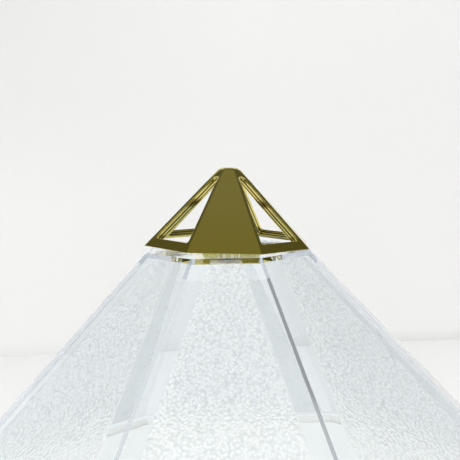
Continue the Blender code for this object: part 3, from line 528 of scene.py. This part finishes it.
def moved_in(corners, inset):
    """The corners of a polygon whose edges have all moved in by inset."""
    lines = []
    for first, second in zip(corners, corners[1:] + corners[:1]):
        along = (second - first).normalized()
        inwards = Vector((-along.y, along.x))
        lines.append((first + inset * inwards, along))
    result = []
    for (p, u), (q, v) in zip(lines[-1:] + lines[:-1], lines):
        step = ((q - p).x * v.y - (q - p).y * v.x) / (u.x * v.y - u.y * v.x)
        result.append(p + step * u)
    return result


def rounded(corners, cut, steps=4):
    """The polygon with each corner cut back and rounded off."""
    points = []
    last = corners[-1:] + corners[:-1]
    following = corners[1:] + corners[:1]
    for before, corner, after in zip(last, corners, following):
        start = corner + cut * (before - corner).normalized()
        end = corner + cut * (after - corner).normalized()
        for i in range(steps + 1):
            u = i / steps
            points.append((1 - u) ** 2 * start + 2 * u * (1 - u) * corner + u * u * end)
    return points


def make_window_beads():
    """Stepped beads around the cut edges of the cap's four windows."""
    slope_length = math.hypot(CAP_RISE, CAP_OPEN_A)
    spread = math.atan2(CAP_SPREAD, slope_length)
    low = slope_length - WINDOW_SILL
    frame_across = WINDOW_FRAME / math.cos(spread)
    wide = low * math.tan(spread) - frame_across
    narrow = WINDOW_TOP * math.tan(spread) - frame_across
    corners = [Vector(point) for point in ((-wide, -low), (wide, -low),
                                           (narrow, -WINDOW_TOP), (-narrow, -WINDOW_TOP))]
    seat = (Matrix.Translation((0, AXIS_Y, CAP_SEAT_Z))
            @ Euler(CAP_LEAN).to_matrix().to_4x4()
            @ Matrix.Translation((0, 0, CAP_LIFT + CAP_RISE)))
    lean = Matrix.Rotation(math.atan2(CAP_RISE, CAP_OPEN_A), 4, "X")
    bm = bmesh.new()
    for window in range(4):
        turn = Matrix.Rotation(math.pi / 4 + window * math.pi / 2, 4, "Z")
        place = seat @ turn @ lean
        for top, foot, stand in BEADS:
            chamfer = 0.4 * stand
            loops = []
            for inset, depth in ((-0.1, foot), (stand - chamfer, foot), (stand, foot - chamfer),
                                 (stand, top + chamfer), (stand - chamfer, top), (-0.1, top)):
                outline = rounded(moved_in(corners, inset * MM), WINDOW_ROUND)
                loops.append([bm.verts.new(place @ Vector((x, y, -depth * MM)))
                              for x, y in outline])
            count = len(loops[0])
            for inner, outer in zip(loops, loops[1:] + loops[:1]):
                for i in range(count):
                    j = (i + 1) % count
                    bm.faces.new((inner[i], inner[j], outer[j], outer[i]))
    add_piece("cap_window_beads", bm, "case", FINISH["gold_plate"])


def make_dial_ticks():
    bm = bmesh.new()
    last = len(TEMPOS) - 1
    per_step = 5
    place = on_front(0, PANEL_Z, DIAL_FACE)
    for i in range(last * per_step + 1):
        long = i % per_step == 0
        inner = 10.9 * MM
        length = (1.5 if long else 0.8) * MM
        width = (0.28 if long else 0.16) * MM
        turn = Matrix.Rotation(scale_angle(i / (last * per_step)), 4, "Z")
        add_prism(bm, bar(width, length, 0, inner + length / 2), PRINT_H, place @ turn)
    add_piece("dial_ticks", bm, "base", PRINT)


def make_dial_numbers():
    """Beats per minute, upright around the knob."""
    bm = bmesh.new()
    reach = 14.35 * MM
    for i, tempo in enumerate(TEMPOS):
        data = bpy.data.curves.new("tempo_number", "FONT")
        data.body = str(tempo)
        data.size = 2.55 * MM
        data.extrude = PRINT_H / 2
        data.align_x = "CENTER"
        data.align_y = "CENTER"
        text = bpy.data.objects.new("tempo_number", data)
        bpy.context.scene.collection.objects.link(text)
        graph = bpy.context.evaluated_depsgraph_get()
        letters = bpy.data.meshes.new_from_object(text.evaluated_get(graph))
        turn = scale_angle(i / (len(TEMPOS) - 1))
        letters.transform(on_front(-reach * math.sin(turn), PANEL_Z + reach * math.cos(turn),
                                   DIAL_FACE - PRINT_H / 2))
        bm.from_mesh(letters)
        bpy.data.objects.remove(text)
        bpy.data.curves.remove(data)
        bpy.data.meshes.remove(letters)
    add_piece("dial_numbers", bm, "base", PRINT)


def make_knob_grip():
    """Fine ridges around the side of the tempo knob, with a plain edge in front."""
    low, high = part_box("tempo_knob")
    rim = (high.x - low.x) / 2
    ridges = 56
    start, end = 1.6 * MM, 8.6 * MM
    taper = 0.5 * MM / (high.y - low.y)
    bm = bmesh.new()
    place = on_front(0, PANEL_Z, high.y)
    rings = []
    for z, stand in ((start, -0.15), (start + 0.35 * MM, 0.30), (end - 0.35 * MM, 0.30),
                     (end, -0.15)):
        ring = []
        for i in range(4 * ridges):
            crest = stand if i % 4 < 2 else min(stand, 0.06)
            reach = rim - taper * z + crest * MM
            turn = 2 * math.pi * i / (4 * ridges)
            ring.append(bm.verts.new(place @ Vector((reach * math.cos(turn),
                                                     reach * math.sin(turn), z))))
        rings.append(ring)
    inner = []
    for z in (end, start):
        reach = rim - taper * z - 0.4 * MM
        inner.append([bm.verts.new(place @ Vector((
            reach * math.cos(2 * math.pi * i / (4 * ridges)),
            reach * math.sin(2 * math.pi * i / (4 * ridges)), z))) for i in range(4 * ridges)])
    rings += inner
    for lower, upper in zip(rings, rings[1:] + rings[:1]):
        for i in range(4 * ridges):
            j = (i + 1) % (4 * ridges)
            bm.faces.new((lower[i], lower[j], upper[j], upper[i]))
    add_piece("knob_grip", bm, "tempo", FINISH["gold_plate"])


def make_volume_marks():
    """Five bars that grow to the right, above the volume wheel."""
    centre = middle("volume_wheel")
    bm = bmesh.new()
    place = on_front(centre.x, PANEL_Z + 4.6 * MM, BASE_FRONT)
    for i in range(5):
        height = (0.6 + 0.45 * i) * MM
        add_prism(bm, bar(0.7 * MM, height, (i - 2) * 1.5 * MM, height / 2), PRINT_H, place)
    add_piece("volume_marks", bm, "base", PRINT)


def make_wheel_mark():
    """A white line down the volume wheel, in front at the middle of its turn."""
    centre = middle("volume_wheel")
    depth = 0.3 * MM
    bm = bmesh.new()
    place = on_front(centre.x, centre.z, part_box("volume_wheel")[0].y + depth)
    add_prism(bm, bar(0.6 * MM, 3.2 * MM), depth + 0.05 * MM, place)
    add_piece("wheel_mark", bm, "volume", FINISH["scale_plate"])


def make_power_marks():
    """A ring for off and a bar for on, at the two ends of the power slider's slot."""
    low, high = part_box("power_slider")
    travel = 4.0 * MM
    margin = 3.4 * MM
    off_x = low.x - margin
    on_x = high.x + travel + margin
    z = (low.z + high.z) / 2
    bm = bmesh.new()
    add_ring(bm, 0.95 * MM, 0.3 * MM, PRINT_H, on_front(off_x, z, BASE_FRONT), 32)
    add_prism(bm, bar(0.32 * MM, 2.1 * MM), PRINT_H, on_front(on_x, z, BASE_FRONT))
    add_piece("power_marks", bm, "base", PRINT)


def make_tap_ring():
    """A printed ring around the tap button, with four short ticks."""
    centre = middle("tap_button")
    bm = bmesh.new()
    place = on_front(centre.x, centre.z, BASE_FRONT)
    add_ring(bm, 5.2 * MM, 0.3 * MM, PRINT_H, place)
    for i in range(4):
        turn = Matrix.Rotation(math.pi / 2 * i + math.pi / 4, 4, "Z")
        add_prism(bm, bar(0.3 * MM, 0.8 * MM, 0, 6.1 * MM), PRINT_H, place @ turn)
    add_piece("tap_ring", bm, "base", PRINT)


def make_door_ridges():
    """Moulded grip ridges on the battery door, below its finger groove."""
    low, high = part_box("battery_door")
    bm = bmesh.new()
    face = high.y
    turn = Matrix.Rotation(math.pi, 4, "Z")
    for i in range(5):
        z = high.z - (5.6 + 1.5 * i) * MM
        width = 16.0 * MM
        place = Matrix.Translation((0, face, z)) @ turn @ Matrix.Rotation(
            math.radians(90), 4, "X")
        lower = bar(width, 0.8 * MM)
        upper = bar(width - 0.8 * MM, 0.3 * MM)
        foot = [bm.verts.new(place @ Vector((x, y, -0.05 * MM))) for x, y in lower]
        crest = [bm.verts.new(place @ Vector((x, y, 0.45 * MM))) for x, y in upper]
        bm.faces.new(foot[::-1])
        bm.faces.new(crest)
        for j in range(4):
            k = (j + 1) % 4
            bm.faces.new((foot[j], foot[k], crest[k], crest[j]))
    add_piece("door_ridges", bm, "door", FINISH["white_plastic"])


# ---------------------------------------------------------------- camera and stage

CAMERA_AT = Vector((5.37, -185.41, 152.2)) * MM
CAMERA_TURN = math.radians(1.44)
CAMERA_TILT = math.radians(-5.78)
CAMERA_ROLL = math.radians(1.218)
SENSOR = 36.0
LENS = 700.0 / 460.0 * SENSOR


def make_camera():
    """The camera that took the photo, as measured on the cap and the case."""
    data = bpy.data.cameras.new("camera")
    data.sensor_width = SENSOR
    data.lens = LENS
    data.clip_start = 0.005
    data.clip_end = 20.0
    camera = bpy.data.objects.new("camera", data)
    bpy.context.scene.collection.objects.link(camera)
    turned = (Matrix.Rotation(CAMERA_TURN, 4, "Z") @ Matrix.Rotation(CAMERA_TILT, 4, "X")
              @ Matrix.Rotation(CAMERA_ROLL, 4, "Y"))
    upright = Matrix.Rotation(math.radians(90), 4, "X")     # looks along +Y
    camera.matrix_world = Matrix.Translation(CAMERA_AT) @ turned @ upright
    bpy.context.scene.camera = camera


WALL_FOOT_PAINTED_LIGHT = rgb(0.80, 0.80, 0.80)


def stage_material(name, colour, second, one_sided=False):
    """A matt studio surface. The one-sided wall has painted light and shade: lighter towards its
    foot, darker high on its left, and a painted shadow along its foot.
    """
    made, graph = new_material(name)
    tone = graph.blend(graph.noise(6.0, 4.0), colour, second)
    if one_sided:
        x, z = (graph.parts(graph.place())[i] for i in (0, 2))
        # painted light: the wall is lighter towards its foot
        tone = graph.blend(graph.remap(z, 0.02, 0.20, 1.0, 0.0), tone, WALL_FOOT_PAINTED_LIGHT)
        # painted shade: the wall is darker high up on its left
        corner = graph.math("MULTIPLY", graph.remap(z, 0.12, 0.28), graph.remap(x, 0.0, -0.2))
        tone = graph.blend(graph.math("MULTIPLY", corner, 0.5), tone, rgb(0.60, 0.60, 0.60))
        # painted shadow: a dark band along the wall's foot where it meets the table, stronger to
        # the right
        line = graph.remap(z, 0.0, 0.010, graph.remap(x, -0.2, 0.2, 0.35, 0.8), 0.0)
        tone = graph.blend(line, tone, rgb(0.68, 0.68, 0.67))
    normal = graph.bump(graph.noise(900.0, 3.0), 0.02 * MM)
    shader = graph.add("BsdfPrincipled", {"Base Color": tone, "Roughness": 0.7,
                                          "Normal": normal}).outputs[0]
    if one_sided:
        behind = graph.add("NewGeometry").outputs["Backfacing"]
        clear = graph.add("BsdfTransparent").outputs[0]
        shader = graph.add("MixShader", {0: behind, 1: shader, 2: clear}).outputs[0]
    graph.finish(shader)
    return made


def make_plane(name, corners, material):
    """One flat sheet of the stage."""
    mesh = bpy.data.meshes.new(name)
    mesh.from_pydata(corners, [], [(0, 1, 2, 3)])
    mesh.materials.append(material)
    plane = bpy.data.objects.new(name, mesh)
    bpy.context.scene.collection.objects.link(plane)
    return plane


def make_light(name, place, aim, size, power):
    """A white area light, aimed at a point, which leaves no mirror image of itself."""
    data = bpy.data.lights.new(name, "AREA")
    data.shape = "RECTANGLE"
    data.size, data.size_y = size
    data.energy = power
    light = bpy.data.objects.new(name, data)
    bpy.context.scene.collection.objects.link(light)
    light.location = place
    light.rotation_euler = (Vector(aim) - Vector(place)).to_track_quat("-Z", "Y").to_euler()
    light.visible_glossy = False
    return light


def make_stage():
    """The table, and the wall that stands askew behind the object."""
    table = stage_material("table_white", rgb(0.875, 0.875, 0.88), rgb(0.855, 0.855, 0.86))
    wall = stage_material("wall_white", rgb(0.765, 0.765, 0.765), rgb(0.745, 0.745, 0.745), True)
    far = 3.0
    make_plane("stage_table", [(-far, -far, 0), (far, -far, 0), (far, far, 0), (-far, far, 0)],
               table)
    left, right = Vector((-2.0, 0.185, -0.01)), Vector((2.0, 0.555, -0.01))
    up = Vector((0, 0, 0.46))
    make_plane("stage_wall", [left, left + up, right + up, right][::-1], wall)


CASE_GLOW = (0.95, 0.42)     # the room through the sides of the case, left and right


def make_world():
    """The room: one tone for what the gold mirrors, one seen through the case."""
    world = bpy.data.worlds.new("studio")
    bpy.context.scene.world = world
    world.use_nodes = True
    graph = Graph(world.node_tree)
    height = graph.parts(graph.add("TexCoord").outputs["Generated"])[2]
    walls = graph.remap(height, 0.12, 0.50, 0.90, 0.10, smooth=True)
    ceiling = graph.remap(height, 0.80, 0.96, 0.10, 0.205, smooth=True)
    level = graph.math("MAXIMUM", walls, ceiling)
    through_case = graph.math("GREATER_THAN",
                              graph.add("LightPath").outputs["Transmission Depth"], 0.5)
    sideways = graph.parts(graph.add("TexCoord").outputs["Generated"])[0]
    aside = graph.math("MINIMUM", graph.math("ABSOLUTE", sideways), 0.5)
    edge_glow = graph.remap(sideways, -0.3, 0.3, *CASE_GLOW)
    glow = graph.remap(aside, 0.10, 0.50, 0.05, edge_glow)
    glow = graph.math("MAXIMUM", glow, graph.remap(height, 0.5, 0.8, 0.0, 0.42))
    level = graph.math("ADD", graph.math("MULTIPLY", through_case, glow), graph.math(
        "MULTIPLY", graph.math("SUBTRACT", 1.0, through_case), level))
    tone = graph.blend(graph.remap(height, 0.2, 0.6), rgb(1.0, 1.0, 1.0), rgb(1.0, 0.97, 0.76))
    tone = graph.blend(through_case, tone, rgb(0.95, 0.985, 1.0))
    back = graph.add("Background", {"Color": tone, "Strength": level})
    graph.add("OutputWorld", {"Surface": back.outputs[0]})


make_camera()
make_stage()
make_world()
make_light("key_left", (-0.75, -0.45, 0.62), (0, 0.05, 0.05), (0.5, 0.5), 2.9)
make_light("key_right", (0.8, -0.35, 0.6), (0, 0.05, 0.05), (0.5, 0.5), 2.6)
fill = make_light("fill_front", (0.0, -1.0, 0.35), (0, 0.05, 0.08), (0.6, 0.4), 4.6)
fill.visible_transmission = False
make_light("overhead", (0, 0.1, 1.3), (0, 0.1, 0), (1.4, 1.2), 9.0)

bpy.context.scene.view_settings.view_transform = "Standard"

dress_nodes()
make_window_beads()
make_dial_ticks()
make_dial_numbers()
make_knob_grip()
make_volume_marks()
make_wheel_mark()
make_power_marks()
make_tap_ring()
make_door_ridges()
soften("clear_case", 0.25 * MM)
soften("gold_cap", 0.12 * MM, 2)
